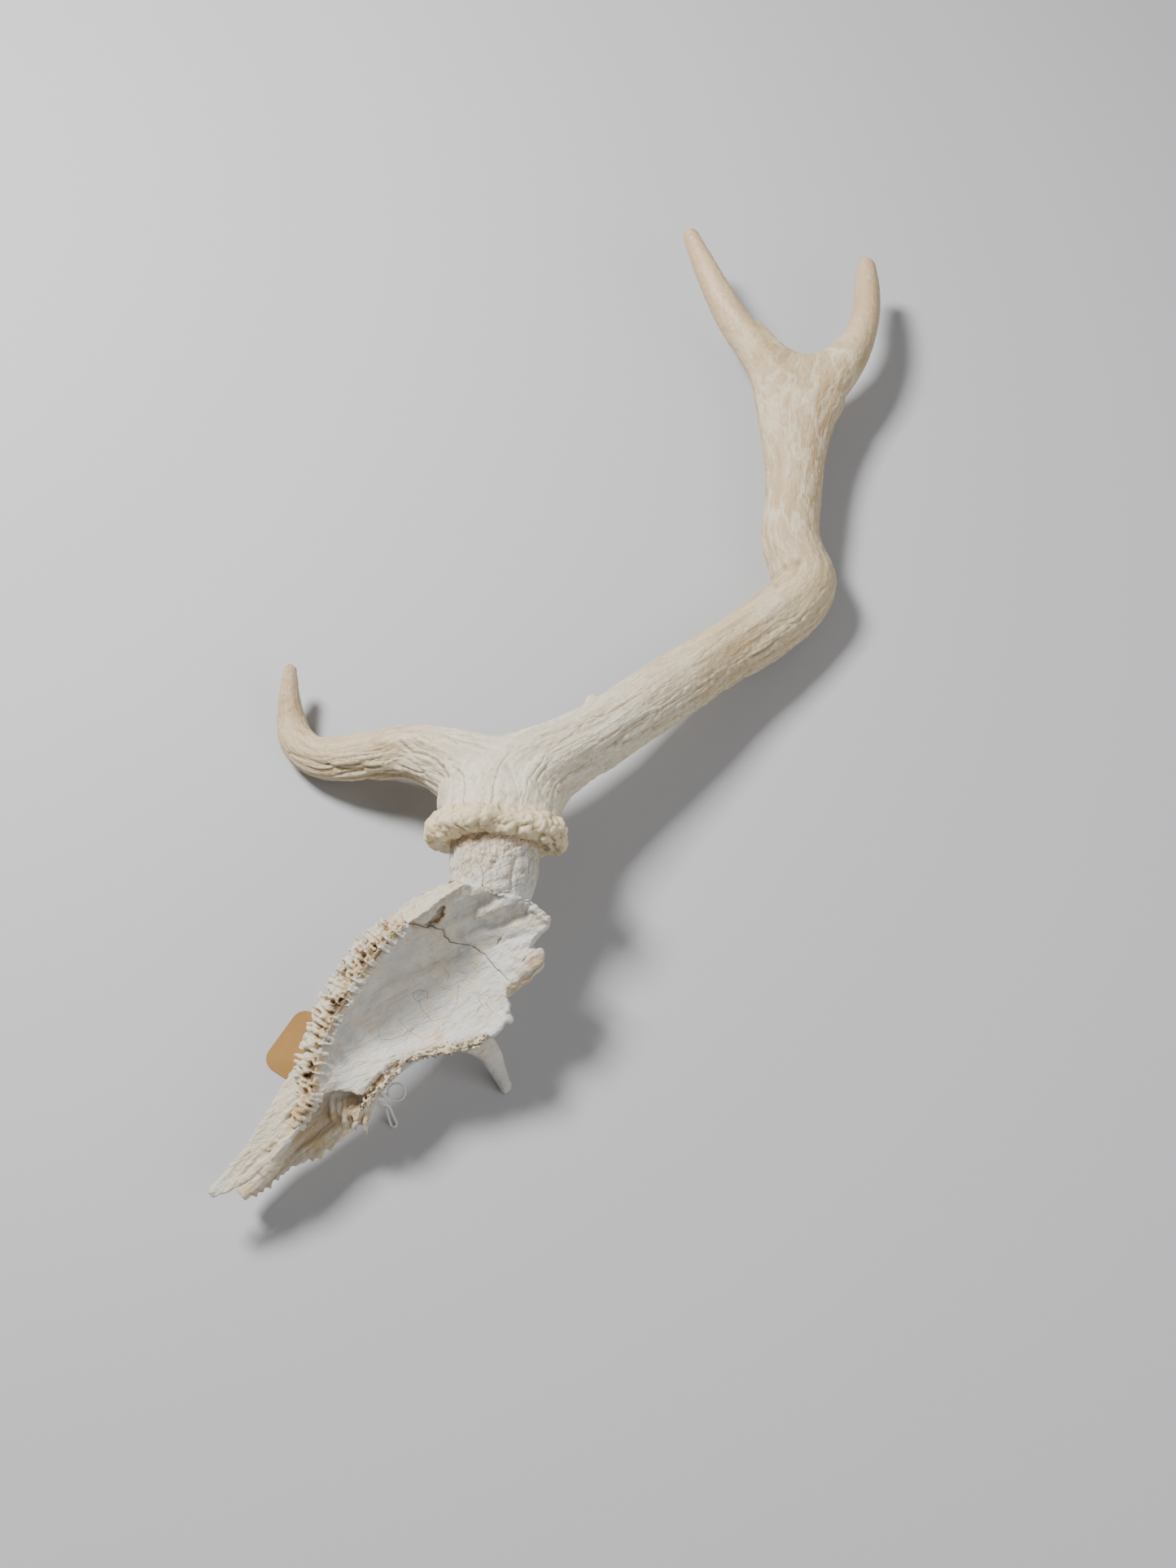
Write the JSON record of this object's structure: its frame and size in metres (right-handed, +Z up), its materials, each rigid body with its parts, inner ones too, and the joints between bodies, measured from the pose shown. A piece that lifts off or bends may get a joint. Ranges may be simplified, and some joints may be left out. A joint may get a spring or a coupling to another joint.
{
  "type": "deer antler",
  "caption": "Branched deer antler with its burr, still joined by the pedicle to half of the skull roof, which lies hollow side up with a blank paper tag tied on by thread.",
  "frame": {"origin": "under the middle of the antler and bone, on the surface that they lie on", "axes": "+Z up from the surface; +Y along the piece, from the broken front of the skull roof to the top points; +X towards the side of the main beam"},
  "size_m": [0.3313, 0.5496, 0.0776],
  "materials": {
    "skull_bone": "dry grey-white bone, matte, finely cracked",
    "antler_bone": "cream to tan antler, matte with a slight sheen on the tines",
    "kraft_paper": "uncoated brown card, matte",
    "cotton_thread": "white cotton thread, matte"
  },
  "bodies": {
    "root": {"skull_bone": "skull_bone", "antler_base": "antler_bone", "brow_tine": "antler_bone", "main_beam": "antler_bone", "long_top_tine": "antler_bone", "short_top_tine": "antler_bone", "paper_tag": "kraft_paper", "tag_thread": "cotton_thread"}
  },
  "joints": []
}
